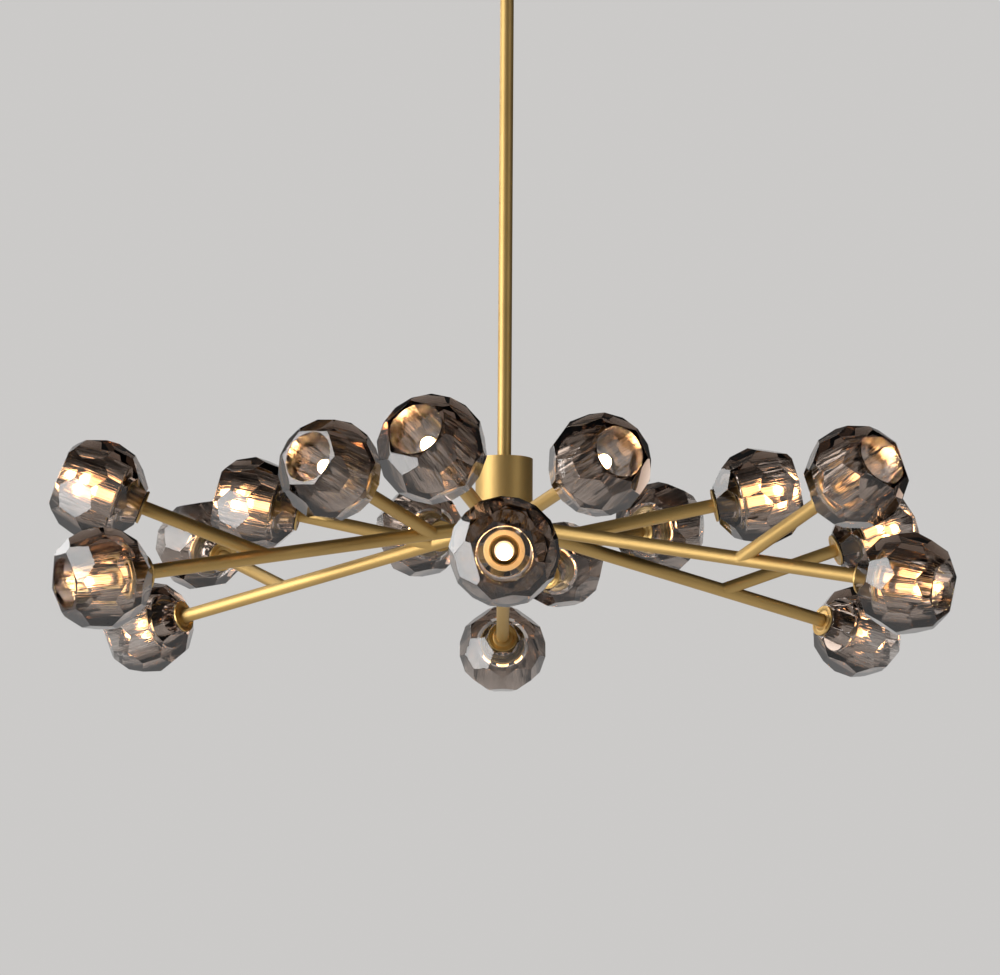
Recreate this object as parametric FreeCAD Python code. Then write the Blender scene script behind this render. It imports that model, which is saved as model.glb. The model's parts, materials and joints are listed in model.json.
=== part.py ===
"""Crystal chandelier: six branching brass arms on a stem, with a cut crystal ball on each tube end.

The origin is on the stem's axis in the plane of the ceiling, +Z is up, and everything hangs below.
Arm 1 points along -Y, and the others follow counter-clockwise seen from above, 60 degrees apart.
"""
import FreeCAD
import Part
import math
import os

# Crystal balls
ball_radius = 56.5                # to the corners of the cut ball
ball_front = 43.0                 # from the centre to the flat front face
bore_radius = 28.0                # blind bore, open at the front
bore_floor = 22.0                 # the bore's floor lies this far behind the centre
neck_radius = 16.2                # hole through the glass behind the floor
gasket_thickness = 1.0
gasket_inset = 0.8                # from the flange's rim to the gasket's
place_names = ("end", "outer", "inner")
ball_turns = (
    (15.0, 15.0, 20.0), (55.0, 65.0, 80.0), (115.0, 80.0, 90.0),
    (90.0, 60.0, 60.0), (40.0, 55.0, 80.0), (90.0, 70.0, 25.0),
)                                 # degrees that each arm's three balls are turned about their bores

# Socket cups, rings, holders and lamps
flange_radius = 18.8
flange_thickness = 2.2
flange_dish_radius = 15.5         # the flange's back is sunk a little inside its rim
flange_dish_depth = 0.5
sleeve_radius = 15.4
sleeve_wall = 1.3
sleeve_sink = 0.3                 # the sleeve's open end lies this far behind the ring's face
spigot_radius = 6.2
spigot_length = 8.0
wire_hole_radius = 3.5
ring_radius = 21.0
ring_thickness = 4.0
spanner_hole_radius = 1.0
spanner_hole_place = 18.7
spanner_hole_depth = 3.0
seat_clearance = 0.1              # radial clearance of pieces that screw or slide together
holder_radius = 10.2
holder_top = 15.0                 # the lamp holder's top lies this far behind the centre
lamp_radius = 8.0
lamp_tip = 17.0                   # the lamp's tip lies this far in front of the centre
lamp_collar_radius = 6.5
lamp_collar_height = 4.0

# Arms
arm_count = 6
tube_radius = 8.0
tube_wall = 1.5
branch_radius = 7.8               # a hair under the arm tube, whose side the branch's end is cut to
braze_gap = 0.05                  # between a branch's cut end and the arm tube
arm_reach = 509.0                 # from the stem's axis along the arm to the end ball's centre
arm_fall = 10.9                   # degrees below level
outer_branch_at = 307.0           # from the stem's axis along the arm
outer_branch_length = 201.0       # from the arm's axis to the ball's centre
outer_branch_bearing = -23.1      # degrees in plan from the arm, counter-clockwise
outer_branch_rise = 20.2
inner_branch_at = 96.0
inner_branch_length = 215.0
inner_branch_bearing = 29.0
inner_branch_rise = 12.0
arm_start = 22.0                  # the arm's open end inside the hub, from the stem's axis
arm_nut_width = 21.0
arm_nut_thickness = 4.5

# Hub
hub_radius = 33.0
hub_height = 100.0
hub_wall = 2.5
hub_top_thickness = 4.0
hub_arm_height = 25.0             # arm axes cross the stem's axis this far above the hub's foot
hub_cover_depth = 7.0
hub_cover_plate = 2.5

# Stem
rod_radius = 8.0
rod_bore_radius = 5.1
rod_length = 300.0
coupling_height = 20.0
coupling_groove_width = 0.7
coupling_groove_depth = 0.35
coupling_groove_inset = 1.2
nipple_radius = 5.0
nipple_bore_radius = 3.4
nipple_grip = 14.0                # length of thread that a rod takes
nipple_tail = 1.0                 # thread that stands out below the hub's nut
lock_nut_width = 15.0
lock_nut_thickness = 5.0

# Ceiling fitting
canopy_radius = 65.0
canopy_depth = 25.0
canopy_wall = 1.2
canopy_edge_radius = 5.0
bar_length = 106.0
bar_width = 20.0
bar_thickness = 2.5
bar_drop = 9.0                    # the bar's middle lies this far below its two ends
bar_middle_share = 0.44
bar_shoulder_share = 0.56
slot_spacing = 79.5
slot_length = 16.0
slot_radius = 2.5
ground_screw_place = 17.0
ground_screw_radius = 2.0
ground_screw_head_radius = 3.6
ground_screw_head_height = 2.2
ground_screw_length = 9.0
stud_top_gap = 2.0
canopy_ring_radius = 12.0
canopy_ring_height = 4.0
stop_peg_radius = 1.2             # the peg under the ring that stops the fork short of a full turn
stop_peg_length = 1.5
stop_place = 9.0                  # the peg's middle, from the axis
stop_groove_half_width = 1.4
stop_groove_depth = 1.8
stop_web_half_width = 1.5

# Swivel under the canopy
turn_gap = 0.3                    # between the canopy ring and the fork that turns below it
fork_radius = 12.0
fork_crown = 5.0                  # glazing of the fork above the stud's flange
fork_pocket_radius = 8.6
stud_flange_radius = 8.0
stud_flange_height = 3.0
running_clearance = 0.05
pin_drop = 21.0                   # the hinge pin lies this far below the fork's top
fork_skirt = 16.0
fork_ear_half_width = 8.0
fork_ear_foot = 8.0               # the ears' flat ends lie this far below the hinge pin
fork_slot_half_width = 6.3
tongue_half_thickness = 6.0
tongue_end_radius = 7.5
hinge_pin_radius = 2.5
hinge_pin_half_length = 11.4
stem_head_shoulder = 11.0         # from the hinge pin down to the shoulder, which stops the tilt
stem_head_foot = 17.0             # from the hinge pin down to the upper rod

overrun = 1.0                     # how far a cutting tool runs past the face that it cuts

V = FreeCAD.Vector
UP = V(0, 0, 1)


def cylinder(radius, start, end):
    """A round bar from one point to another."""
    return Part.makeCylinder(radius, (end - start).Length, start, end - start)


def upright(radius, low, high):
    """A round bar on the Z axis between two heights."""
    return Part.makeCylinder(radius, high - low, V(0, 0, low))


def pipe(radius, bore, low, high):
    """A tube on the Z axis between two heights."""
    return upright(radius, low, high).cut(upright(bore, low - overrun, high + overrun))


def turned(profile):
    """A solid turned about the Z axis from (radius, height) corners."""
    points = [V(r, 0, z) for r, z in profile]
    face = Part.Face(Part.makePolygon(points + points[:1]))
    return face.revolve(V(0, 0, 0), UP, 360)


def hexagon_bar(width, low, high):
    """A hexagonal bar on the Z axis, given across its flats."""
    reach = width / math.sqrt(3)
    steps = [math.radians(60 * i) for i in range(7)]
    wire = Part.makePolygon([V(reach * math.cos(a), reach * math.sin(a), low) for a in steps])
    return Part.Face(wire).extrude(V(0, 0, high - low))


def moved(shape, origin, direction, turn=0.0):
    """A copy of a shape modelled along +Z, turned about itself and set along a direction."""
    side = UP.cross(direction)
    aim = FreeCAD.Rotation(side, direction.cross(side), direction, "ZXY")
    copy = shape.copy()
    copy.Placement = FreeCAD.Placement(origin, aim.multiply(FreeCAD.Rotation(UP, turn)))
    return copy


def bearing(azimuth, rise):
    """The direction at an azimuth and an angle above level, both in degrees."""
    a, b = math.radians(azimuth), math.radians(rise)
    return V(math.cos(a) * math.cos(b), math.sin(a) * math.cos(b), math.sin(b))


# Heights down the fixture, worked out from the ceiling
fork_top = -canopy_depth - canopy_ring_height - turn_gap
pin_height = fork_top - pin_drop
upper_rod_top = pin_height - stem_head_foot
coupling_top = upper_rod_top - rod_length
lower_rod_top = coupling_top - coupling_height
hub_top = lower_rod_top - rod_length
hub_foot = hub_top - hub_height
arm_height = hub_foot + hub_arm_height

# Places along a ball's own axis, with its centre at zero and the front face on the +Z side
golden = (1 + math.sqrt(5)) / 2
ball_edge = ball_radius * 4 / math.sqrt(58 + 18 * math.sqrt(5))
ball_back = math.sqrt(ball_radius ** 2 - ball_edge ** 2)
flange_front = -ball_back - gasket_thickness
flange_back = flange_front - flange_thickness
tube_end = flange_back + flange_dish_depth


def cut_ball():
    """The solid ball: 20 six-sided and 12 five-sided flats, one six-sided flat square to the Z axis."""
    corners = []
    for a in (-1, 1):
        for b in (-golden, golden):
            corners += [V(0, a, b), V(a, b, 0), V(b, 0, a)]
    front = V(golden, 0, 2 * golden + 1)
    level = FreeCAD.Rotation(front, UP)
    corners = [level.multVec(c) for c in corners]
    side = 2.0
    grow = ball_radius / (corners[0] * 2 + V(near(corners, corners[0], side)[0])).Length

    def near_corner(c, d):
        return (c * 2 + d) * grow

    faces = []
    for i, a in enumerate(corners):
        around = in_turn(a, near(corners, a, side))
        faces.append([near_corner(a, b) for b in around])
        for b, c in zip(around, around[1:] + around[:1]):
            if i < corners.index(b) and i < corners.index(c):
                faces.append([
                    near_corner(a, b), near_corner(b, a), near_corner(b, c),
                    near_corner(c, b), near_corner(c, a), near_corner(a, c),
                ])
    flats = [Part.Face(Part.makePolygon(points + points[:1])) for points in faces]
    return Part.Solid(Part.Shell(flats))


def near(corners, a, side):
    """The corners one edge away from a corner."""
    return [c for c in corners if abs((c - a).Length - side) < side / 8]


def in_turn(a, others):
    """Points around a corner, in order of their angle about it."""
    x = (others[0] - a * (others[0].dot(a) / a.dot(a))).normalize()
    y = V(a).cross(x).normalize()
    return sorted(others, key=lambda c: math.atan2(c.dot(y), c.dot(x)))


def crystal():
    """The cut ball with its flat front, its blind bore and the hole through its neck."""
    beyond = ball_radius + overrun
    block = Part.makeBox(2 * beyond, 2 * beyond, beyond, V(-beyond, -beyond, ball_front))
    bore = upright(bore_radius, -bore_floor, beyond)
    neck = upright(neck_radius, -beyond, -bore_floor + overrun)
    return cut_ball().cut(block).cut(bore.fuse(neck))


def socket_cup():
    """The turned brass cup: a flange behind the ball, a sleeve through its neck and a spigot in the tube."""
    spigot_end = tube_end - spigot_length
    sleeve_bore = sleeve_radius - sleeve_wall
    sleeve_end = -bore_floor + ring_thickness - sleeve_sink
    return turned([
        (wire_hole_radius, spigot_end), (spigot_radius, spigot_end), (spigot_radius, tube_end),
        (flange_dish_radius, tube_end), (flange_dish_radius, flange_back), (flange_radius, flange_back),
        (flange_radius, flange_front), (sleeve_radius, flange_front), (sleeve_radius, sleeve_end),
        (sleeve_bore, sleeve_end), (sleeve_bore, flange_front), (wire_hole_radius, flange_front),
    ])


def neck_gasket():
    """The soft washer between the flange and the glass."""
    return pipe(flange_radius - gasket_inset, sleeve_radius + seat_clearance, flange_front, -ball_back)


def retaining_ring():
    """The brass ring that screws down on the sleeve inside the bore, with two holes for its spanner."""
    high = -bore_floor + ring_thickness
    ring = pipe(ring_radius, sleeve_radius + seat_clearance, -bore_floor, high)
    for side in (-1, 1):
        hole = upright(spanner_hole_radius, high - spanner_hole_depth, high + overrun)
        ring = ring.cut(hole.translate(V(side * spanner_hole_place, 0, 0)))
    return ring


def lamp_holder():
    """The ceramic holder inside the sleeve, hollow where the lamp's foot goes in."""
    pocket = lamp_collar_radius + seat_clearance
    return turned([
        (0, flange_front), (holder_radius, flange_front), (holder_radius, -holder_top), (pocket, -holder_top),
        (pocket, -holder_top - lamp_collar_height), (0, -holder_top - lamp_collar_height),
    ])


def lamp():
    """The capsule lamp: a narrow foot in the holder and a round bulb with a domed end."""
    low = -holder_top - lamp_collar_height
    foot = upright(lamp_collar_radius, low, -holder_top)
    bulb = upright(lamp_radius, -holder_top, lamp_tip - lamp_radius)
    dome = Part.makeSphere(lamp_radius, V(0, 0, lamp_tip - lamp_radius))
    return foot.fuse([bulb, dome]).removeSplitter()


def light_places(arm):
    """The end, outer and inner ball of an arm: centre, direction and turn of each."""
    azimuth = -90 + 360 / arm_count * arm
    along = bearing(azimuth, -arm_fall)
    root = V(0, 0, arm_height)
    places = [(root, root + along * arm_reach, along)]
    for at, length, turn, rise in (
        (outer_branch_at, outer_branch_length, outer_branch_bearing, outer_branch_rise),
        (inner_branch_at, inner_branch_length, inner_branch_bearing, inner_branch_rise),
    ):
        start = root + along * at
        direction = bearing(azimuth + turn, rise)
        places.append((start, start + direction * length, direction))
    return places


def arm_tubes(arm):
    """An arm's three tubes: the long one from the hub, and two branches cut to fit its side."""
    (root, centre, along), *branches = light_places(arm)
    first, last = root + along * arm_start, centre + along * tube_end
    long_tube = cylinder(tube_radius, first, last)
    past = along * overrun
    long_tube = long_tube.cut(cylinder(tube_radius - tube_wall, first - past, last + past))
    saddle = cylinder(tube_radius + braze_gap, first, last)
    tubes = []
    for start, centre, direction in branches:
        end = centre + direction * tube_end
        bore = cylinder(branch_radius - tube_wall, start, end + direction * overrun)
        long_tube = long_tube.cut(bore)
        tubes.append(cylinder(branch_radius, start, end).cut(bore).cut(saddle))
    return [long_tube] + tubes


def arm_nuts():
    """The six nuts that hold the arms inside the hub."""
    hole = tube_radius + seat_clearance
    half_corner = arm_nut_width / math.sqrt(3)
    seat = math.sqrt((hub_radius - hub_wall) ** 2 - half_corner ** 2) - seat_clearance
    high = seat - half_corner * math.sin(math.radians(arm_fall))
    nut = hexagon_bar(arm_nut_width, high - arm_nut_thickness, high)
    nut = nut.cut(upright(hole, high - arm_nut_thickness - overrun, high + overrun))
    return [moved(nut, light_places(arm)[0][0], light_places(arm)[0][2], 30) for arm in range(arm_count)]


def hub_shell():
    """The hub: a turned cup, open below, with a hole for each arm and one for the stem's nipple."""
    inner = hub_radius - hub_wall
    shell = upright(hub_radius, hub_foot, hub_top)
    shell = shell.cut(upright(inner, hub_foot - overrun, hub_top - hub_top_thickness))
    shell = shell.cut(upright(nipple_radius + seat_clearance, hub_foot, hub_top + overrun))
    for arm in range(arm_count):
        start, centre, direction = light_places(arm)[0]
        shell = shell.cut(cylinder(tube_radius + seat_clearance, start + direction * arm_start, centre))
    return shell


def hub_cover():
    """The cover that screws into the hub from below."""
    rim = hub_radius - hub_wall - seat_clearance
    top = hub_foot + hub_cover_depth
    hollow = upright(rim - hub_wall, hub_foot + hub_cover_plate, top + overrun)
    return upright(rim, hub_foot, top).cut(hollow)


def hub_nipple():
    """The threaded tube that joins the hub to the lower rod."""
    low = hub_top - hub_top_thickness - lock_nut_thickness - nipple_tail
    return pipe(nipple_radius, nipple_bore_radius, low, hub_top + nipple_grip)


def lock_nut(high):
    """A hexagon nut on the stem's axis, with its upper face at a height."""
    nut = hexagon_bar(lock_nut_width, high - lock_nut_thickness, high)
    return nut.cut(upright(nipple_radius + seat_clearance, high - 2 * lock_nut_thickness, high + overrun))


def rod(high):
    """One stem rod, with its top at a height."""
    return pipe(rod_radius, rod_bore_radius, high - rod_length, high)


def rod_coupling():
    """The joint between the rods: a grooved sleeve of their own size, threaded above and below."""
    high, low = coupling_top, lower_rod_top
    thread = upright(nipple_radius, low - nipple_grip, high + nipple_grip)
    joint = upright(rod_radius, low, high).fuse(thread)
    for groove in (low + coupling_groove_inset, high - coupling_groove_inset - coupling_groove_width):
        top = groove + coupling_groove_width
        rest = upright(rod_radius - coupling_groove_depth, groove, top)
        joint = joint.cut(upright(rod_radius + overrun, groove, top).cut(rest))
    return joint.cut(upright(nipple_bore_radius, low - rod_length, high + rod_length))


def stem_head():
    """The top of the stem: a tongue on the hinge pin, a round shoulder and a thread for the upper rod."""
    shoulder = pin_height - stem_head_shoulder
    foot = pin_height - stem_head_foot
    tongue = Part.makeBox(
        2 * tongue_half_thickness, 2 * tongue_end_radius, stem_head_shoulder,
        V(-tongue_half_thickness, -tongue_end_radius, shoulder),
    )
    across = V(2 * tongue_half_thickness, 0, 0)
    end = Part.makeCylinder(tongue_end_radius, across.x, V(-tongue_half_thickness, 0, pin_height), across)
    eye = Part.makeCylinder(
        hinge_pin_radius + running_clearance, across.x + 2 * overrun,
        V(-tongue_half_thickness - overrun, 0, pin_height), across,
    )
    thread = upright(nipple_radius, foot - nipple_grip, foot)
    head = tongue.fuse([end, upright(rod_radius, foot, shoulder), thread])
    return head.cut(eye).cut(upright(nipple_bore_radius, foot - rod_length, shoulder)).removeSplitter()


def fork():
    """The fork that turns under the canopy: a crown around the stud's flange and two ears for the pin."""
    skirt = fork_top - fork_skirt
    body = upright(fork_radius, skirt, fork_top)
    width = 2 * fork_ear_half_width
    low = pin_height - fork_ear_foot
    ears = Part.makeBox(2 * fork_radius, width, skirt - low, V(-fork_radius, -fork_ear_half_width, low))
    ears = ears.common(upright(fork_radius, low - overrun, fork_top))
    across = V(2 * fork_radius, 0, 0)
    crown = fork_top - fork_crown
    pocket = upright(fork_pocket_radius, low - overrun, crown)
    slot = Part.makeBox(
        2 * fork_slot_half_width, 2 * (fork_radius + overrun), crown - stud_flange_height - low,
        V(-fork_slot_half_width, -fork_radius - overrun, low - overrun),
    )
    hole = Part.makeCylinder(
        hinge_pin_radius + running_clearance / 2, across.x + 2 * overrun,
        V(-fork_radius - overrun, 0, pin_height), across,
    )
    core = pocket.common(upright(fork_radius, crown - stud_flange_height - 2 * seat_clearance, crown))
    stud_hole = upright(nipple_radius + running_clearance, low, fork_top + overrun)
    return body.fuse(ears).cut(slot).cut(core).cut(hole).cut(stud_hole).cut(stop_groove()).removeSplitter()


def stop_groove():
    """The groove around the fork's top, broken by one web that meets the peg either way round."""
    low = fork_top - stop_groove_depth
    inner, outer = stop_place - stop_groove_half_width, stop_place + stop_groove_half_width
    groove = pipe(outer, inner, low, fork_top + overrun)
    web = Part.makeBox(
        2 * stop_web_half_width, fork_radius, fork_top + 2 * overrun - low,
        V(-stop_web_half_width, 0, low - overrun),
    )
    return groove.cut(web)


def hinge_pin():
    """The pin through the fork's ears and the stem head's tongue."""
    start = V(-hinge_pin_half_length, 0, pin_height)
    return cylinder(hinge_pin_radius, start, start + V(2 * hinge_pin_half_length, 0, 0))


def hollow_stud():
    """The hollow stud that hangs from the bar, through canopy and fork, and carries the fork on its flange."""
    seat = fork_top - fork_crown - running_clearance
    foot = seat - stud_flange_height
    return turned([
        (nipple_bore_radius, foot), (stud_flange_radius, foot), (stud_flange_radius, seat),
        (nipple_radius, seat), (nipple_radius, -stud_top_gap), (nipple_bore_radius, -stud_top_gap),
    ])


def canopy():
    """The plain round canopy, open towards the ceiling, with a rounded edge and a hole for the stud."""
    outer = upright(canopy_radius, -canopy_depth, 0)
    outer = outer.makeFillet(canopy_edge_radius, [edge_at(outer, -canopy_depth)])
    inner = upright(canopy_radius - canopy_wall, -canopy_depth + canopy_wall, overrun)
    rim = [edge_at(inner, -canopy_depth + canopy_wall)]
    inner = inner.makeFillet(canopy_edge_radius - canopy_wall, rim)
    return outer.cut(inner).cut(upright(nipple_radius + seat_clearance, -2 * canopy_depth, 0))


def edge_at(shape, height):
    """The round edge of a turned shape at a height."""
    for edge in shape.Edges:
        box = edge.BoundBox
        if edge.Closed and abs(box.ZMin - height) < overrun / 2 and abs(box.ZMax - height) < overrun / 2:
            return edge


def canopy_ring():
    """The ring screwed up the stud under the canopy, with the peg that stops the fork."""
    low = -canopy_depth - canopy_ring_height
    ring = pipe(canopy_ring_radius, nipple_radius + seat_clearance, low, -canopy_depth)
    peg = upright(stop_peg_radius, low - stop_peg_length, low + overrun)
    return ring.fuse(peg.translate(V(0, -stop_place, 0)))


def mounting_bar():
    """The steel bar that is screwed to the ceiling box: two slotted ends and a dropped middle."""
    half = bar_length / 2
    middle, shoulder = half * bar_middle_share, half * bar_shoulder_share
    top = [(-half, 0), (-shoulder, 0), (-middle, -bar_drop), (middle, -bar_drop), (shoulder, 0), (half, 0)]
    outline = [V(x, -bar_width / 2, z) for x, z in top]
    outline += [V(x, -bar_width / 2, z - bar_thickness) for x, z in reversed(top)]
    bar = Part.Face(Part.makePolygon(outline + outline[:1])).extrude(V(0, bar_width, 0))
    low = -bar_drop - 2 * bar_thickness
    for side in (-1, 1):
        reach = slot_length / 2 - slot_radius
        centre = side * slot_spacing / 2
        ends = [upright(slot_radius, low, overrun).translate(V(centre + x, 0, 0)) for x in (-reach, reach)]
        corner = V(centre - reach, -slot_radius, low)
        middle_cut = Part.makeBox(2 * reach, 2 * slot_radius, overrun - low, corner)
        bar = bar.cut(middle_cut.fuse(ends))
    bar = bar.cut(upright(nipple_radius + seat_clearance, low, overrun))
    screw_hole = upright(ground_screw_radius + seat_clearance, low, overrun)
    return bar.cut(screw_hole.translate(V(ground_screw_place, 0, 0)))


def ground_screw():
    """The earthing screw in the bar, put in from below."""
    seat = -bar_drop - bar_thickness
    head = upright(ground_screw_head_radius, seat - ground_screw_head_height, seat)
    shank = upright(ground_screw_radius, seat, seat - ground_screw_head_height + ground_screw_length)
    return head.fuse(shank).translate(V(ground_screw_place, 0, 0))


def save(name, shapes):
    """Writes one node: a single solid, or a group of separate solids."""
    shape = shapes if isinstance(shapes, Part.Shape) else Part.makeCompound(shapes)
    shape.exportStep("parts/" + name + ".step")
    print(name, len(shape.Solids), "solids", round(shape.Volume / 1000, 2), "cm3", shape.isValid())


def main():
    os.makedirs("parts", exist_ok=True)
    ball, cup, bulb = crystal(), socket_cup(), lamp()
    tubes = [arm_tubes(arm) for arm in range(arm_count)]
    save("outer_branches", [outer for arm, outer, inner in tubes])
    save("inner_branches", [inner for arm, outer, inner in tubes])
    for arm in range(arm_count):
        places = light_places(arm)
        save("arm_%d" % (arm + 1), tubes[arm][0])
        for name, turn, (start, centre, direction) in zip(place_names, ball_turns[arm], places):
            save("crystal_%d_%s" % (arm + 1, name), moved(ball, centre, direction, turn))
        for name, shape in (("socket_cups", cup), ("lamps", bulb)):
            copies = [moved(shape, centre, direction) for start, centre, direction in places]
            save("%s_%d" % (name, arm + 1), copies)
    lights = [light for arm in range(arm_count) for light in light_places(arm)]
    for name, shape in (
        ("neck_gaskets", neck_gasket()),
        ("retaining_rings", retaining_ring()),
        ("lamp_holders", lamp_holder()),
    ):
        save(name, [moved(shape, centre, direction) for start, centre, direction in lights])
    save("arm_nuts", arm_nuts())
    save("hub_shell", hub_shell())
    save("hub_cover", hub_cover())
    save("hub_nipple", hub_nipple())
    save("hub_nut", lock_nut(hub_top - hub_top_thickness))
    save("lower_rod", rod(lower_rod_top))
    save("rod_coupling", rod_coupling())
    save("upper_rod", rod(upper_rod_top))
    save("stem_head", stem_head())
    save("swivel_fork", fork())
    save("hinge_pin", hinge_pin())
    save("hollow_stud", hollow_stud())
    save("canopy", canopy())
    save("canopy_ring", canopy_ring())
    save("mounting_bar", mounting_bar())
    save("bar_nuts", [lock_nut(-bar_drop + lock_nut_thickness), lock_nut(-bar_drop - bar_thickness)])
    save("ground_screw", ground_screw())
    print("hub top", hub_top, "arm height", arm_height, "pin", pin_height, "ball back", round(ball_back, 3))


main()
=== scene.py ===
"""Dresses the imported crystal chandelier: cut smoked glass, satin brass, lit lamps, and a plain studio."""
import bmesh
import bpy
import json
import math
from mathutils import Matrix, Vector


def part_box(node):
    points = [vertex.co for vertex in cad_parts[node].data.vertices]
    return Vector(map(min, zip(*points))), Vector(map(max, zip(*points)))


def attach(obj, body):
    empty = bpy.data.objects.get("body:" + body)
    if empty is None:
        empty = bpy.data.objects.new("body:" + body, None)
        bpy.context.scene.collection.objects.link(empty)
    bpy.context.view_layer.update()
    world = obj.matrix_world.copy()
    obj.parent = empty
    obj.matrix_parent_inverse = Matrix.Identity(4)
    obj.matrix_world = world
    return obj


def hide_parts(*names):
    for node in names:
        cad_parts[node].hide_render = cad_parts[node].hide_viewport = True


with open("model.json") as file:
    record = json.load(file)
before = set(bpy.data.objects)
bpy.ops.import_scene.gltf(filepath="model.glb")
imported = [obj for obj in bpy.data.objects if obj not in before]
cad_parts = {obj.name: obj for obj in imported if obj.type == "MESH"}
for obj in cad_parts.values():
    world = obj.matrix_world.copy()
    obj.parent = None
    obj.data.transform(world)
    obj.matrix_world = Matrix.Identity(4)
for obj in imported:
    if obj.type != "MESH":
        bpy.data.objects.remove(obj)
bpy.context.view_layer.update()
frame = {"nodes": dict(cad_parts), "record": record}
MM = 0.001

# Cut balls, measured along a ball's own axis from its centre
BALL_RADIUS = 56.5 * MM
BALL_FRONT = 43.0 * MM
BORE_RADIUS = 28.0 * MM
BORE_FLOOR = 22.0 * MM
NECK_RADIUS = 16.2 * MM
EDGE_BEVEL = 0.22 * MM
MOUTH_CHAMFER = 0.5 * MM
BORE_SIDES = 180
BORE_CORNER = 2.0 * MM            # the rounded corner that the drill leaves at the bore's floor
BORE_CORNER_STEPS = 5

# Drilling leaves shallow waves along the bore, and fine steps on them: depth, width and length of each
BORE_WAVE = 0.14 * MM
BORE_WAVE_WIDE = 1.9 * MM
BORE_WAVE_LONG = 40.0 * MM
BORE_LINE = 0.20 * MM
BORE_LINE_WIDE = 1.3 * MM
BORE_LINE_LONG = 60.0 * MM
BORE_LINE_SOFT = 0.06             # share of a step that is soft
BORE_PLACE = "bore_place"         # the name under which the mesh keeps the bore's own coordinates

# Arms, counter-clockwise from the front, and the end, outer and inner ball of each
ARM_COUNT = 6
ARM_REACH = 509.0 * MM
ARM_FALL = 10.9
BRANCHES = (
    (307.0 * MM, 201.0 * MM, -23.1, 20.2),
    (96.0 * MM, 215.0 * MM, 29.0, 12.0),
)                                 # start along the arm, length, degrees from the arm in plan, degrees of rise
BALL_TURNS = (
    (15.0, 15.0, 20.0), (55.0, 65.0, 80.0), (115.0, 80.0, 90.0),
    (90.0, 60.0, 60.0), (40.0, 55.0, 80.0), (90.0, 70.0, 25.0),
)                                 # degrees that each arm's three balls are turned about their bores
PLACE_NAMES = ("end", "outer", "inner")
HUB_ARM_HEIGHT = 25.0 * MM        # arm axes cross the stem's axis this far above the hub's foot
ARM_START = 22.0 * MM
TUBE_RADIUS = 8.0 * MM
BRANCH_RADIUS = 7.8 * MM
TUBE_WALL = 1.5 * MM
TUBE_SIDES = 64
ROUND_SIDES = 96
BRAZE_SPREAD = 0.45 * MM          # the bead of brazing where a branch meets its arm
BRAZE_RISE = 0.9 * MM

# Cups, rings, holders and lamps
GASKET = 1.0 * MM
GASKET_INSET = 0.8 * MM
FLANGE_RADIUS = 18.8 * MM
FLANGE_THICKNESS = 2.2 * MM
FLANGE_DISH_RADIUS = 15.5 * MM
FLANGE_DISH_DEPTH = 0.5 * MM
FLANGE_GROOVE_RADIUS = 12.6 * MM
FLANGE_GROOVE = 0.35 * MM         # half width and depth of the fine groove in the dish
SLEEVE_RADIUS = 15.4 * MM
SLEEVE_WALL = 1.3 * MM
SLEEVE_SINK = 0.3 * MM
SPIGOT_RADIUS = 6.2 * MM
SPIGOT_LENGTH = 8.0 * MM
WIRE_HOLE_RADIUS = 3.5 * MM
RING_RADIUS = 21.0 * MM
RING_THICKNESS = 4.0 * MM
SPANNER_HOLE_RADIUS = 1.0 * MM
SPANNER_HOLE_PLACE = 18.7 * MM
SPANNER_HOLE_DEPTH = 3.0 * MM
SEAT = 0.1 * MM                   # radial clearance of pieces that slide or screw together
HOLDER_RADIUS = 10.2 * MM
HOLDER_TOP = 15.0 * MM
LAMP_RADIUS = 8.0 * MM
LAMP_TIP = 17.0 * MM
LAMP_COLLAR_RADIUS = 6.5 * MM
LAMP_COLLAR_HEIGHT = 4.0 * MM
LAMP_SIDES = 48
DOME_STEPS = 12
BEAD = 0.25 * MM                  # softened edge of turned metal

# Meshes
SMOOTH_ANGLE = 30                 # edges sharper than this many degrees stay sharp
CRYSTAL_SMOOTH_ANGLE = 12
FLAT_ANGLE = 2                    # faces within this many degrees are one flat
SPECK = MM / 1000                 # radius that stands for zero on the axis of a turned piece
MERGE = MM / 100                  # points nearer than this are one

# Finishes
GLASS_IOR = 1.56
SMOKE = (0.56, 0.475, 0.41)
SMOKE_DENSITY = 46.0
BRASS = (0.50, 0.335, 0.125)
# The ring's brass is a lit copy of the other brass, paler and brighter: painted lamplight from the lamp
# beside it
RING_BRASS_PAINTED_LAMPLIGHT = (0.95, 0.80, 0.46)
DRAWN_ROUGHNESS = (0.50, 0.58)
TURNED_ROUGHNESS = (0.32, 0.42)
FACED_ROUGHNESS = (0.42, 0.54)
DRAWN_GRAIN = (2600, 2600, 40)    # noise scales across and along a tube
TURNED_GRAIN = 2500.0
GRAIN_STRENGTH = 0.04
GRAIN_DEPTH = 0.02 * MM
BRASS_CLOUDS = 9.0                # noise scale, and the share of the colour left in the darkest clouds
BRASS_DARKEST = 0.88
PLAIN_CLOUDS = 60.0
PLAIN_DARKEST = 0.9
PLAIN_SPREAD = 0.15               # share by which a plain surface's roughness varies
CLOUD_DETAIL = 3.0
EVEN = (1, 1, 1)
NOISE_RANGE = (0.3, 0.7)          # nearly all of a noise lies between these
CERAMIC = (0.86, 0.84, 0.79)
RUBBER = (0.03, 0.03, 0.03)
ZINC = (0.62, 0.63, 0.64)
GREEN_PAINT = (0.05, 0.22, 0.07)

# The lit lamps: dim behind the first height and at full strength in front of the second
LAMP_DIM_END = 5.0 * MM
LAMP_BRIGHT_START = 16.0 * MM
LAMP_DIM = 5.0
LAMP_BRIGHT = 130.0
LAMP_GLOW = (1.0, 0.51, 0.21)
LAMP_FROST = (1.0, 0.9, 0.75)
LAMP_ROUGHNESS = 0.35

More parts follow.
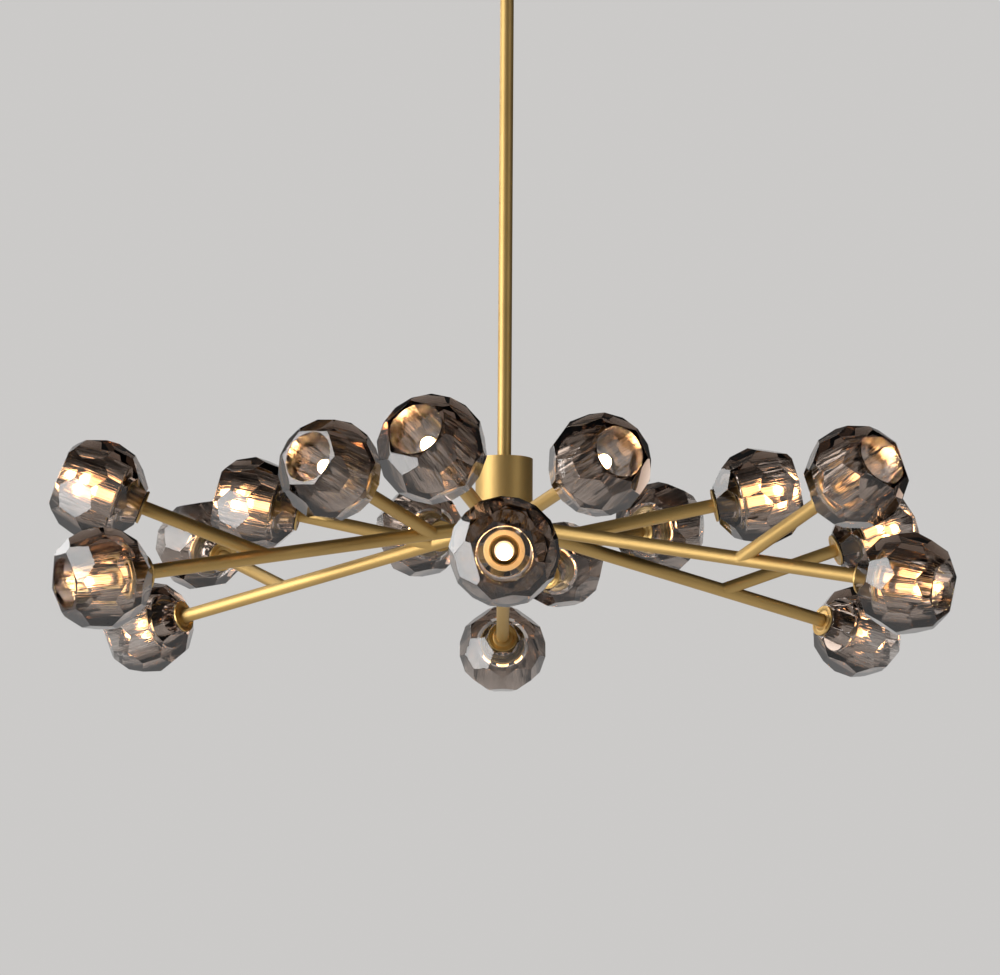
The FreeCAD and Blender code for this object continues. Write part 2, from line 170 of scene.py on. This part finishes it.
# The camera, from the photograph
VIEW_DISTANCE = 3.937
VIEW_PITCH = math.radians(8.31)
VIEW_ROLL = math.radians(0.36)
VIEW_SIDE = -4.7 * MM
VIEW_LIFT = 66.1 * MM
VIEW_LENS = 123.25
SENSOR = 36.0

# The studio
BACKDROP = (0.60, 0.59, 0.58)
BACKGROUND_RAYS = ("Is Camera Ray", "Is Glossy Ray", "Is Transmission Ray")
BACKDROP_FADES = (
    ("Z", 0.10, 0.50, 0.08),
    ("X", 0.05, 0.65, 0.18),
    ("Y", 0.0, -0.6, 0.35),
)                                 # axis, where the fade starts and ends on it, and the share left at its end
AMBIENT = (0.55, 0.56, 0.58)
AMBIENT_STRENGTH = 0.5
FLOOR_HEIGHT = -4.6
FLOOR_REACH = 20.0
FLOOR_ROUGHNESS = 0.9
FLOOR_PALE = 0.71                 # share of the backdrop's own brightness that the floor shows
LAMPS = (
    ("key", (-2.9, -1.3, -0.7), (2.2, 3.2), 170.0),
    ("fill", (2.8, -2.2, 0.2), (0.7, 1.8), 18.0),
    ("back", (-2.0, 1.6, 0.9), (1.2, 1.8), 22.0),
)                                 # name, place, size in metres and power in watts

UP = Vector((0, 0, 1))


def node_tree(name):
    """A new material, its node tree and its principled shader."""
    made = bpy.data.materials.new(name)
    made.use_nodes = True
    tree = made.node_tree
    return made, tree, tree.nodes["Principled BSDF"]


def add(tree, kind, **values):
    """Adds a node and sets its sockets and properties by name."""
    node = tree.nodes.new(kind)
    for key, value in values.items():
        if key in node.inputs:
            node.inputs[key].default_value = value
        else:
            setattr(node, key, value)
    return node


def object_noise(tree, scale, stretch, detail):
    """Noise in the piece's own space, with one scale for each axis."""
    where = add(tree, "ShaderNodeTexCoord")
    squeeze = add(tree, "ShaderNodeMapping")
    squeeze.inputs["Scale"].default_value = stretch
    pattern = add(tree, "ShaderNodeTexNoise", Scale=scale, Detail=detail)
    tree.links.new(where.outputs["Object"], squeeze.inputs["Vector"])
    tree.links.new(squeeze.outputs["Vector"], pattern.inputs["Vector"])
    return pattern


def mapped(tree, source, start, end, low, high, kind="LINEAR"):
    """Maps the values between a start and an end to those between low and high."""
    ramp = add(tree, "ShaderNodeMapRange", interpolation_type=kind)
    for socket, value in zip(("From Min", "From Max", "To Min", "To Max"), (start, end, low, high)):
        ramp.inputs[socket].default_value = value
    tree.links.new(source, ramp.inputs["Value"])
    return ramp.outputs["Result"]


def spread(tree, noise, low, high):
    """Maps a noise to a range of values."""
    return mapped(tree, noise, *NOISE_RANGE, low, high)


def joined(tree, operation, first, second):
    """The result of a sum on two sockets."""
    sum_node = add(tree, "ShaderNodeMath", operation=operation)
    tree.links.new(first, sum_node.inputs[0])
    tree.links.new(second, sum_node.inputs[1])
    return sum_node.outputs["Value"]


def tinted(tree, source, low, high):
    """Maps a noise to a range of colours."""
    mix = add(tree, "ShaderNodeMix", data_type="RGBA")
    for socket in mix.inputs:
        if socket.type == "RGBA":
            socket.default_value = (*(low if socket.name == "A" else high), 1)
    tree.links.new(spread(tree, source, 0.0, 1.0), mix.inputs["Factor"])
    return next(socket for socket in mix.outputs if socket.type == "RGBA")


def bump(tree, shader, source, strength, depth):
    """Feeds a noise to the shader's normal as a shallow relief."""
    relief = add(tree, "ShaderNodeBump", Strength=strength, Distance=depth)
    tree.links.new(source, relief.inputs["Height"])
    tree.links.new(relief.outputs["Normal"], shader.inputs["Normal"])


def bore_noise(tree, wide, long):
    """Noise on the bore's wall, drawn out along it. Off the wall the mesh holds no places, so it is even."""
    where = add(tree, "ShaderNodeAttribute", attribute_name=BORE_PLACE)
    squeeze = add(tree, "ShaderNodeMapping")
    squeeze.inputs["Scale"].default_value = (1 / wide, 1 / wide, 1 / long)
    marks = add(tree, "ShaderNodeTexNoise", Scale=1.0, Detail=1.0)
    tree.links.new(where.outputs["Vector"], squeeze.inputs["Vector"])
    tree.links.new(squeeze.outputs["Vector"], marks.inputs["Vector"])
    return marks.outputs["Fac"]


def glass():
    """Smoked crystal: clear, hard edged and grey-brown through its thickness."""
    made, tree, shader = node_tree("smoked_crystal_glass")
    shader.inputs["Base Color"].default_value = (1, 1, 1, 1)
    shader.inputs["Roughness"].default_value = 0.0
    shader.inputs["IOR"].default_value = GLASS_IOR
    shader.inputs["Transmission Weight"].default_value = 1.0
    smoke = add(tree, "ShaderNodeVolumeAbsorption", Density=SMOKE_DENSITY)
    smoke.inputs["Color"].default_value = (*SMOKE, 1)
    tree.links.new(smoke.outputs["Volume"], tree.nodes["Material Output"].inputs["Volume"])
    relief = add(tree, "ShaderNodeMath", operation="MULTIPLY_ADD")
    relief.inputs[1].default_value = BORE_LINE / BORE_WAVE
    waves = bore_noise(tree, BORE_WAVE_WIDE, BORE_WAVE_LONG)
    lines = bore_noise(tree, BORE_LINE_WIDE, BORE_LINE_LONG)
    steps = mapped(tree, lines, 0.5 - BORE_LINE_SOFT, 0.5 + BORE_LINE_SOFT, 0.0, 1.0, "SMOOTHSTEP")
    tree.links.new(steps, relief.inputs[0])
    tree.links.new(waves, relief.inputs[2])
    bump(tree, shader, relief.outputs["Value"], 1.0, BORE_WAVE)
    return made


def brass_finish(tree, shader, grain, colour, roughness):
    """Brass with faint clouds in its colour, and a grain in its roughness and relief."""
    cloud = object_noise(tree, BRASS_CLOUDS, EVEN, CLOUD_DETAIL)
    darkest = tuple(c * BRASS_DARKEST for c in colour)
    tree.links.new(tinted(tree, cloud.outputs["Fac"], darkest, colour), shader.inputs["Base Color"])
    tree.links.new(spread(tree, grain, *roughness), shader.inputs["Roughness"])
    shader.inputs["Metallic"].default_value = 1.0
    bump(tree, shader, grain, GRAIN_STRENGTH, GRAIN_DEPTH)


def drawn_brass():
    """Natural brass with a fine satin grain along the Z axis."""
    made, tree, shader = node_tree("drawn_brass")
    grain = object_noise(tree, 1.0, DRAWN_GRAIN, 4.0)
    brass_finish(tree, shader, grain.outputs["Fac"], BRASS, DRAWN_ROUGHNESS)
    return made


def turned_brass(name, colour, roughness):
    """Brass with the fine rings that a lathe leaves about the Z axis."""
    made, tree, shader = node_tree(name)
    where = add(tree, "ShaderNodeTexCoord")
    flat = add(tree, "ShaderNodeVectorMath", operation="MULTIPLY")
    flat.inputs[1].default_value = (1, 1, 0)
    away = add(tree, "ShaderNodeVectorMath", operation="LENGTH")
    split = add(tree, "ShaderNodeSeparateXYZ")
    ring = add(tree, "ShaderNodeCombineXYZ")
    grain = add(tree, "ShaderNodeTexNoise", Scale=TURNED_GRAIN, Detail=3.0)
    tree.links.new(where.outputs["Object"], flat.inputs[0])
    tree.links.new(where.outputs["Object"], split.inputs["Vector"])
    tree.links.new(flat.outputs["Vector"], away.inputs[0])
    tree.links.new(away.outputs["Value"], ring.inputs["X"])
    tree.links.new(split.outputs["Z"], ring.inputs["Y"])
    tree.links.new(ring.outputs["Vector"], grain.inputs["Vector"])
    brass_finish(tree, shader, grain.outputs["Fac"], colour, roughness)
    return made


def lit_glass():
    """The frosted capsule of a lamp that is on, dimmer towards its foot."""
    made, tree, shader = node_tree("lit_capsule")
    shader.inputs["Base Color"].default_value = (*LAMP_FROST, 1)
    shader.inputs["Roughness"].default_value = LAMP_ROUGHNESS
    where = add(tree, "ShaderNodeTexCoord")
    split = add(tree, "ShaderNodeSeparateXYZ")
    tree.links.new(where.outputs["Object"], split.inputs["Vector"])
    glow = mapped(
        tree, split.outputs["Z"], LAMP_DIM_END, LAMP_BRIGHT_START, LAMP_DIM, LAMP_BRIGHT, "SMOOTHSTEP",
    )
    tree.links.new(glow, shader.inputs["Emission Strength"])
    shader.inputs["Emission Color"].default_value = (*LAMP_GLOW, 1)
    return made


def plain(name, colour, roughness, metallic=0.0, coat=0.0):
    """A moulded, glazed or plated surface with a little variation."""
    made, tree, shader = node_tree(name)
    cloud = object_noise(tree, PLAIN_CLOUDS, EVEN, CLOUD_DETAIL).outputs["Fac"]
    darkest = tuple(c * PLAIN_DARKEST for c in colour)
    rough = spread(tree, cloud, roughness * (1 - PLAIN_SPREAD), roughness * (1 + PLAIN_SPREAD))
    tree.links.new(tinted(tree, cloud, darkest, colour), shader.inputs["Base Color"])
    tree.links.new(rough, shader.inputs["Roughness"])
    shader.inputs["Metallic"].default_value = metallic
    shader.inputs["Coat Weight"].default_value = coat
    return made


def to_mesh(bm, name, materials, angle=SMOOTH_ANGLE):
    """Turns a bmesh into a mesh that is smooth across gentle edges."""
    bmesh.ops.recalc_face_normals(bm, faces=bm.faces)
    mesh = bpy.data.meshes.new(name)
    bm.to_mesh(mesh)
    bm.free()
    for material in materials:
        mesh.materials.append(material)
    mesh.shade_smooth()
    mesh.set_sharp_from_angle(angle=math.radians(angle))
    return mesh


def loop_at(bm, radius, height, sides):
    """A ring of vertices about the Z axis."""
    turns = [2 * math.pi * i / sides for i in range(sides)]
    return [bm.verts.new((math.cos(a) * radius, math.sin(a) * radius, height)) for a in turns]


def skin(bm, rings):
    """Faces between each ring and the next."""
    for low, high in zip(rings, rings[1:]):
        for i in range(len(low)):
            j = (i + 1) % len(low)
            bm.faces.new((low[i], low[j], high[j], high[i]))


def lathe(name, profile, material, sides=ROUND_SIDES):
    """A turned piece from (radius, height) corners, closed on the axis or from last corner to first."""
    bm = bmesh.new()
    rings = [loop_at(bm, max(r, SPECK), z, sides) for r, z in profile]
    skin(bm, rings if profile[0][0] == 0 else rings + rings[:1])
    bmesh.ops.remove_doubles(bm, verts=bm.verts, dist=MERGE)
    return to_mesh(bm, name, [material])


def softened(profile):
    """The same profile with each corner cut by a small bevel."""
    points = []
    count = len(profile)
    for i, (r, z) in enumerate(profile):
        here = Vector((r, z))
        for other in (profile[i - 1], profile[(i + 1) % count]):
            away = Vector(other) - here
            step = min(BEAD, away.length / 3)
            points.append(tuple(here + away.normalized() * step) if r > MERGE else (r, z))
    return points


def ball_corners():
    """The 60 corners of the cut ball, with one six-sided flat square to the Z axis."""
    golden = (1 + math.sqrt(5)) / 2
    corners = []
    for a in (-1, 1):
        for b in (-golden, golden):
            corners += [Vector((0, a, b)), Vector((a, b, 0)), Vector((b, 0, a))]
    front = Vector((golden, 0, 2 * golden + 1))
    level = front.rotation_difference(UP)
    corners = [level @ c for c in corners]
    side, leeway = 2, 0.1
    points = [a * 2 + b for a in corners for b in corners if abs((a - b).length - side) < leeway]
    return [p.normalized() * BALL_RADIUS for p in points]


def flat_at(bm, height):
    """The face that lies square to the axis at a height."""
    leeway, nearly_level = MM / 10, 0.99
    for face in bm.faces:
        if all(abs(v.co.z - height) < leeway for v in face.verts) and abs(face.normal.z) > nearly_level:
            return face


def ball_back():
    """From the ball's centre to its back flat."""
    edge = BALL_RADIUS * 4 / math.sqrt(58 + 18 * math.sqrt(5))
    return math.sqrt(BALL_RADIUS ** 2 - edge ** 2)


def open_flat(bm, height, ring):
    """Replaces a flat by one with a round hole in it."""
    face = flat_at(bm, height)
    edges = list(face.edges)
    bmesh.ops.delete(bm, geom=[face], context="FACES_ONLY")
    edges += [bm.edges.get((a, b)) or bm.edges.new((a, b)) for a, b in zip(ring, ring[1:] + ring[:1])]
    bmesh.ops.triangle_fill(bm, use_beauty=True, edges=edges, normal=(0, 0, math.copysign(1, height)))


def crystal_mesh(material):
    """The cut ball with bevelled edges, a flat open front, a marked bore and the hole through its neck."""
    bm = bmesh.new()
    marks = bm.verts.layers.float_vector.new(BORE_PLACE)
    for point in ball_corners():
        bm.verts.new(point)
    bmesh.ops.convex_hull(bm, input=bm.verts)
    bmesh.ops.dissolve_limit(bm, angle_limit=math.radians(FLAT_ANGLE), verts=bm.verts, edges=bm.edges)
    cut = bmesh.ops.bisect_plane(
        bm, geom=list(bm.verts) + list(bm.edges) + list(bm.faces), plane_co=(0, 0, BALL_FRONT), plane_no=UP,
        clear_outer=True,
    )
    rim = [e for e in cut["geom_cut"] if isinstance(e, bmesh.types.BMEdge)]
    bmesh.ops.edgeloop_fill(bm, edges=rim)
    bm.normal_update()
    bmesh.ops.bevel(
        bm, geom=list(bm.edges), offset=EDGE_BEVEL, offset_type="OFFSET", segments=1, profile=0.5,
        affect="EDGES",
    )
    bm.normal_update()
    mouth = loop_at(bm, BORE_RADIUS + MOUTH_CHAMFER, BALL_FRONT, BORE_SIDES)
    open_flat(bm, BALL_FRONT, mouth)
    back = loop_at(bm, NECK_RADIUS, -ball_back(), BORE_SIDES)
    open_flat(bm, -ball_back(), back)
    ends = (BALL_FRONT - MOUTH_CHAMFER, BORE_CORNER - BORE_FLOOR)
    wall = [loop_at(bm, BORE_RADIUS, z, BORE_SIDES) for z in ends]
    for vert in wall[0] + wall[1]:
        vert[marks] = vert.co
    rings = [mouth] + wall
    for i in range(1, BORE_CORNER_STEPS + 1):
        a = math.pi / 2 * i / BORE_CORNER_STEPS
        radius = BORE_RADIUS - BORE_CORNER * (1 - math.cos(a))
        rings.append(loop_at(bm, radius, -BORE_FLOOR + BORE_CORNER * (1 - math.sin(a)), BORE_SIDES))
    rings += [loop_at(bm, NECK_RADIUS, -BORE_FLOOR, BORE_SIDES), back]
    skin(bm, rings)
    return to_mesh(bm, "cut_ball", [material], CRYSTAL_SMOOTH_ANGLE)


def set_along(origin, direction, turn=0.0):
    """The place of a piece made along +Z, turned about itself and set along a direction."""
    side = UP.cross(direction).normalized()
    across = direction.cross(side)
    aim = Matrix((side, across, direction)).transposed()
    return Matrix.Translation(origin) @ (aim @ Matrix.Rotation(math.radians(turn), 3, "Z")).to_4x4()


def bearing(azimuth, rise):
    """The direction at an azimuth and an angle above level, both in degrees."""
    a, b = math.radians(azimuth), math.radians(rise)
    return Vector((math.cos(a) * math.cos(b), math.sin(a) * math.cos(b), math.sin(b)))


def light_places(arm):
    """The end, outer and inner ball of an arm: where its tube starts, its centre and direction."""
    azimuth = -90 + 360 / ARM_COUNT * arm
    along = bearing(azimuth, -ARM_FALL)
    root = Vector((0, 0, arm_height))
    places = [(root, root + along * ARM_REACH, along)]
    for at, length, turn, rise in BRANCHES:
        start = root + along * at
        direction = bearing(azimuth + turn, rise)
        places.append((start, start + direction * length, direction))
    return places


def piece(name, mesh, nodes, matrix=None):
    """Adds a piece that rides on the fixture and stands for its CAD nodes."""
    made = bpy.data.objects.new(name, mesh)
    bpy.context.scene.collection.objects.link(made)
    if matrix:
        made.matrix_world = matrix
    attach(made, "fixture")
    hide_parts(*nodes)
    return made


def post(name, foot, height, radius):
    """An upright bar as an object of its own, for cutting."""
    bm = bmesh.new()
    rings = [loop_at(bm, radius, h, TUBE_SIDES) for h in (0.0, height)]
    skin(bm, rings)
    for ring in rings:
        bm.faces.new(ring)
    bmesh.ops.translate(bm, vec=foot, verts=rings[0] + rings[1])
    return bpy.data.objects.new(name, to_mesh(bm, name, []))


def tube_mesh(name, radius, start, end, material, arm_along=None):
    """A hollow tube along +Z between two heights; a branch's first end is cut to the side of its arm tube."""
    bm = bmesh.new()

    def end_ring(ring_radius, lift=0.0):
        """Where each side line of a cylinder first leaves the arm tube, or a plain ring without one."""
        ring = []
        for i in range(TUBE_SIDES):
            a = 2 * math.pi * i / TUBE_SIDES
            foot = Vector((math.cos(a), math.sin(a), 0)) * ring_radius
            height = start
            if arm_along is not None:
                across = foot - arm_along * foot.dot(arm_along)
                lean = UP - arm_along * arm_along.z
                b, c = across.dot(lean), across.length_squared - TUBE_RADIUS ** 2
                height += (-b + math.sqrt(max(b * b - lean.length_squared * c, 0.0))) / lean.length_squared
            ring.append(bm.verts.new((foot.x, foot.y, height + lift)))
        return ring

    rise = BRAZE_RISE if arm_along is not None else 0.0
    rings = [end_ring(radius, rise), loop_at(bm, radius, end, TUBE_SIDES)]
    rings += [loop_at(bm, radius - TUBE_WALL, end, TUBE_SIDES), end_ring(radius - TUBE_WALL)]
    if arm_along is not None:
        rings += [end_ring(radius + BRAZE_SPREAD), end_ring(radius + BRAZE_SPREAD / 4, rise / 3)]
    skin(bm, rings + rings[:1])
    return to_mesh(bm, name, [material])


def arm_pieces(arm, meshes):
    """The three tubes of one arm, each standing for its own node."""
    number = arm + 1
    nodes = ("arm_%d" % number, "outer_branches", "inner_branches")
    names = ("arm_tube", "outer_branch", "inner_branch")
    for name, mesh, node, (_, centre, direction) in zip(names, meshes, nodes, light_places(arm)):
        piece("%s_%d" % (name, number), mesh, [node], set_along(centre, direction))


def arm_meshes(material):
    """The meshes of an arm tube and its two branches, each along +Z with its ball's centre at zero."""
    end = -(ball_back() + GASKET + FLANGE_THICKNESS - FLANGE_DISH_DEPTH)
    meshes = []
    places = light_places(0)
    for number, (start, centre, direction) in enumerate(places):
        reach = (centre - start).length
        if number == 0:
            meshes.append(tube_mesh("arm_tube", TUBE_RADIUS, ARM_START - reach, end, material))
            continue
        turn = set_along(centre, direction).to_3x3().inverted()
        meshes.append(tube_mesh("branch", BRANCH_RADIUS, -reach, end, material, turn @ places[0][2]))
    return meshes


def ring_mesh(material):
    """The ring on the bore's floor, with two blind holes for a spanner."""
    high = -BORE_FLOOR + RING_THICKNESS
    bore = SLEEVE_RADIUS + SEAT
    profile = [(bore, -BORE_FLOOR), (RING_RADIUS, -BORE_FLOOR), (RING_RADIUS, high), (bore, high)]
    ring = bpy.data.objects.new("ring", lathe("ring", softened(profile), material))
    scene = bpy.context.scene
    scene.collection.objects.link(ring)
    holes = []
    for side in (-1, 1):
        place = Vector((side * SPANNER_HOLE_PLACE, 0, high - SPANNER_HOLE_DEPTH))
        hole = post("hole", place, 2 * SPANNER_HOLE_DEPTH, SPANNER_HOLE_RADIUS)
        scene.collection.objects.link(hole)
        cut = ring.modifiers.new("hole", "BOOLEAN")
        cut.operation = "DIFFERENCE"
        cut.object = hole
        cut.solver = "EXACT"
        holes.append(hole)
    mesh = bpy.data.meshes.new_from_object(ring.evaluated_get(bpy.context.evaluated_depsgraph_get()))
    for part in holes + [ring]:
        bpy.data.objects.remove(part)
    mesh.shade_smooth()
    mesh.set_sharp_from_angle(angle=math.radians(SMOOTH_ANGLE))
    return mesh


def cup_mesh(material):
    """The turned cup: a dished flange with a fine groove, a sleeve and a spigot."""
    flange_front = -ball_back() - GASKET
    flange_back = flange_front - FLANGE_THICKNESS
    tube_end = flange_back + FLANGE_DISH_DEPTH
    spigot_end = tube_end - SPIGOT_LENGTH
    sleeve_bore = SLEEVE_RADIUS - SLEEVE_WALL
    sleeve_end = -BORE_FLOOR + RING_THICKNESS - SLEEVE_SINK
    groove_in = FLANGE_GROOVE_RADIUS - FLANGE_GROOVE
    groove_out = FLANGE_GROOVE_RADIUS + FLANGE_GROOVE
    profile = [
        (WIRE_HOLE_RADIUS, spigot_end), (SPIGOT_RADIUS, spigot_end), (SPIGOT_RADIUS, tube_end),
        (groove_in, tube_end), (groove_in, tube_end + FLANGE_GROOVE),
        (groove_out, tube_end + FLANGE_GROOVE), (groove_out, tube_end),
        (FLANGE_DISH_RADIUS, tube_end), (FLANGE_DISH_RADIUS, flange_back), (FLANGE_RADIUS, flange_back),
        (FLANGE_RADIUS, flange_front), (SLEEVE_RADIUS, flange_front), (SLEEVE_RADIUS, sleeve_end),
        (sleeve_bore, sleeve_end), (sleeve_bore, flange_front), (WIRE_HOLE_RADIUS, flange_front),
    ]
    return lathe("socket_cup", softened(profile), material)


def holder_mesh(material):
    """The ceramic holder with its pocket for the lamp's foot."""
    pocket = LAMP_COLLAR_RADIUS + SEAT
    low = -ball_back() - GASKET
    floor = -HOLDER_TOP - LAMP_COLLAR_HEIGHT
    profile = [
        (0, low), (HOLDER_RADIUS, low), (HOLDER_RADIUS, -HOLDER_TOP), (pocket, -HOLDER_TOP),
        (pocket, floor), (0, floor),
    ]
    return lathe("lamp_holder", softened(profile), material)


def lamp_mesh(material):
    """The capsule lamp with its narrow foot and domed end."""
    low = -HOLDER_TOP - LAMP_COLLAR_HEIGHT
    profile = [
        (0, low), (LAMP_COLLAR_RADIUS, low), (LAMP_COLLAR_RADIUS, -HOLDER_TOP), (LAMP_RADIUS, -HOLDER_TOP),
    ]
    for i in range(DOME_STEPS):
        a = math.pi / 2 * i / DOME_STEPS
        profile.append((LAMP_RADIUS * math.cos(a), LAMP_TIP - LAMP_RADIUS + LAMP_RADIUS * math.sin(a)))
    profile.append((0, LAMP_TIP))
    return lathe("lamp", profile, material, LAMP_SIDES)


def gasket_mesh(material):
    """The soft washer between flange and glass."""
    low, high = -ball_back() - GASKET, -ball_back()
    bore, rim = SLEEVE_RADIUS + SEAT, FLANGE_RADIUS - GASKET_INSET
    return lathe("gasket", softened([(bore, low), (rim, low), (rim, high), (bore, high)]), material)


def finish_nodes(metal, others):
    """Gives each CAD node the finish of its slot, and the metal where the others have none for it."""
    slots = {row["node"]: row["material_slot"] for row in frame["record"]["subparts"]}
    for name, node in frame["nodes"].items():
        node.data.materials.clear()
        node.data.materials.append(others.get(slots[name], metal))
        node.data.shade_smooth()
        node.data.set_sharp_from_angle(angle=math.radians(SMOOTH_ANGLE))


def baked(mesh, place):
    """A copy of a mesh with its place in its points, so that its box is a true one."""
    copy = mesh.copy()
    copy.transform(place)
    return copy


def dress():
    """All the pieces that stand for CAD nodes, and the finishes of the rest."""
    ball = crystal_mesh(glass())
    drawn = drawn_brass()
    cup = cup_mesh(turned_brass("turned_brass", BRASS, TURNED_ROUGHNESS))
    tubes = arm_meshes(drawn)
    # The ring takes the paler, brighter brass: painted lamplight from the lamp beside it
    ring = ring_mesh(turned_brass("faced_brass_painted_lamplight", RING_BRASS_PAINTED_LAMPLIGHT, FACED_ROUGHNESS))
    holder = holder_mesh(plain("glazed_ceramic", CERAMIC, roughness=0.25, coat=0.5))
    bulb = lamp_mesh(lit_glass())
    washer = gasket_mesh(plain("gasket", RUBBER, roughness=0.6))
    for arm in range(ARM_COUNT):
        arm_pieces(arm, tubes)
        for name, turn, (_, centre, direction) in zip(PLACE_NAMES, BALL_TURNS[arm], light_places(arm)):
            number, place = arm + 1, set_along(centre, direction)
            label = "%d_%s" % (number, name)
            cut = baked(ball, set_along(centre, direction, turn))
            piece("cut_crystal_" + label, cut, ["crystal_" + label])
            piece("cup_" + label, cup, ["socket_cups_%d" % number], place)
            piece("ring_" + label, ring, ["retaining_rings"], place)
            piece("holder_" + label, holder, ["lamp_holders"], place)
            piece("lamp_" + label, bulb, ["lamps_%d" % number], place)
            piece("gasket_" + label, washer, ["neck_gaskets"], place)
    finish_nodes(drawn, {
        "plated_steel": plain("zinc_plate", ZINC, roughness=0.35, metallic=1.0),
        "green_screw": plain("green_paint", GREEN_PAINT, roughness=0.4),
    })


def ray_is(tree, *kinds):
    """One for a ray of any of these kinds, and nought for others."""
    path = add(tree, "ShaderNodeLightPath")
    seen = path.outputs[kinds[0]]
    for kind in kinds[1:]:
        seen = joined(tree, "MAXIMUM", seen, path.outputs[kind])
    return seen


def shade_by_direction(tree):
    """The backdrop's strength: full for the camera, for the rest darker above, at the right and in front."""
    where = add(tree, "ShaderNodeTexCoord")
    split = add(tree, "ShaderNodeSeparateXYZ")
    tree.links.new(where.outputs["Generated"], split.inputs["Vector"])
    fades = [
        mapped(tree, split.outputs[axis], start, end, 1.0, dark, "SMOOTHSTEP")
        for axis, start, end, dark in BACKDROP_FADES
    ]
    shade = fades[0]
    for fade in fades[1:]:
        shade = joined(tree, "MULTIPLY", shade, fade)
    return joined(tree, "MAXIMUM", ray_is(tree, "Is Camera Ray"), shade)


def backdrop():
    """A pale world for what sees it, and a soft even light for the rest."""
    world = bpy.data.worlds.new("studio")
    bpy.context.scene.world = world
    world.use_nodes = True
    tree = world.node_tree
    light = tree.nodes["Background"]
    light.inputs["Color"].default_value = (*AMBIENT, 1)
    light.inputs["Strength"].default_value = AMBIENT_STRENGTH
    pale = add(tree, "ShaderNodeBackground")
    pale.inputs["Color"].default_value = (*BACKDROP, 1)
    tree.links.new(shade_by_direction(tree), pale.inputs["Strength"])
    both = add(tree, "ShaderNodeMixShader")
    tree.links.new(ray_is(tree, *BACKGROUND_RAYS), both.inputs["Fac"])
    tree.links.new(light.outputs["Background"], both.inputs[1])
    tree.links.new(pale.outputs["Background"], both.inputs[2])
    tree.links.new(both.outputs["Shader"], tree.nodes["World Output"].inputs["Surface"])


def soft_lamps():
    """Soft lamps at the sides, aimed at the middle of the arms."""
    for name, place, size, power in LAMPS:
        lamp = bpy.data.lights.new(name, "AREA")
        lamp.shape = "RECTANGLE"
        lamp.size, lamp.size_y = size
        lamp.energy = power
        lit = bpy.data.objects.new(name, lamp)
        bpy.context.scene.collection.objects.link(lit)
        lit.location = place
        aim = Vector((0, 0, arm_height)) - Vector(place)
        lit.rotation_mode = "QUATERNION"
        lit.rotation_quaternion = aim.to_track_quat("-Z", "Y")


def pale_floor():
    """A floor that takes the object's shadow and is otherwise nearly as pale as the backdrop."""
    bm = bmesh.new()
    bmesh.ops.create_grid(bm, x_segments=1, y_segments=1, size=FLOOR_REACH)
    surface, tree, shader = node_tree("floor")
    shader.inputs["Base Color"].default_value = (*BACKDROP, 1)
    shader.inputs["Roughness"].default_value = FLOOR_ROUGHNESS
    shader.inputs["Emission Color"].default_value = (*BACKDROP, 1)
    share = add(tree, "ShaderNodeMath", operation="MULTIPLY")
    share.inputs[1].default_value = FLOOR_PALE
    tree.links.new(ray_is(tree, *BACKGROUND_RAYS), share.inputs[0])
    tree.links.new(share.outputs["Value"], shader.inputs["Emission Strength"])
    mesh = bpy.data.meshes.new("floor")
    bm.to_mesh(mesh)
    bm.free()
    mesh.materials.append(surface)
    floor = bpy.data.objects.new("floor", mesh)
    floor.location.z = FLOOR_HEIGHT
    bpy.context.scene.collection.objects.link(floor)


def studio():
    """The plain studio round the part."""
    bpy.context.scene.view_settings.view_transform = "Standard"
    backdrop()
    soft_lamps()
    pale_floor()


def aim_camera():
    """The photograph's camera: below the arms, looking up at them a little."""
    ahead = Vector((0, math.cos(VIEW_PITCH), math.sin(VIEW_PITCH)))
    above = Vector((0, -math.sin(VIEW_PITCH), math.cos(VIEW_PITCH)))
    level = Vector((VIEW_SIDE, 0, hub_foot))
    data = bpy.data.cameras.new("camera")
    data.lens = VIEW_LENS
    data.sensor_width = SENSOR
    camera = bpy.data.objects.new("camera", data)
    bpy.context.scene.collection.objects.link(camera)
    camera.location = level + above * VIEW_LIFT - ahead * VIEW_DISTANCE
    turn = ahead.to_track_quat("-Z", "Y").to_matrix() @ Matrix.Rotation(VIEW_ROLL, 3, "Z")
    camera.rotation_mode = "QUATERNION"
    camera.rotation_quaternion = turn.to_quaternion()
    bpy.context.scene.camera = camera


hub_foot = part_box("hub_shell")[0].z
arm_height = hub_foot + HUB_ARM_HEIGHT
dress()
studio()
aim_camera()
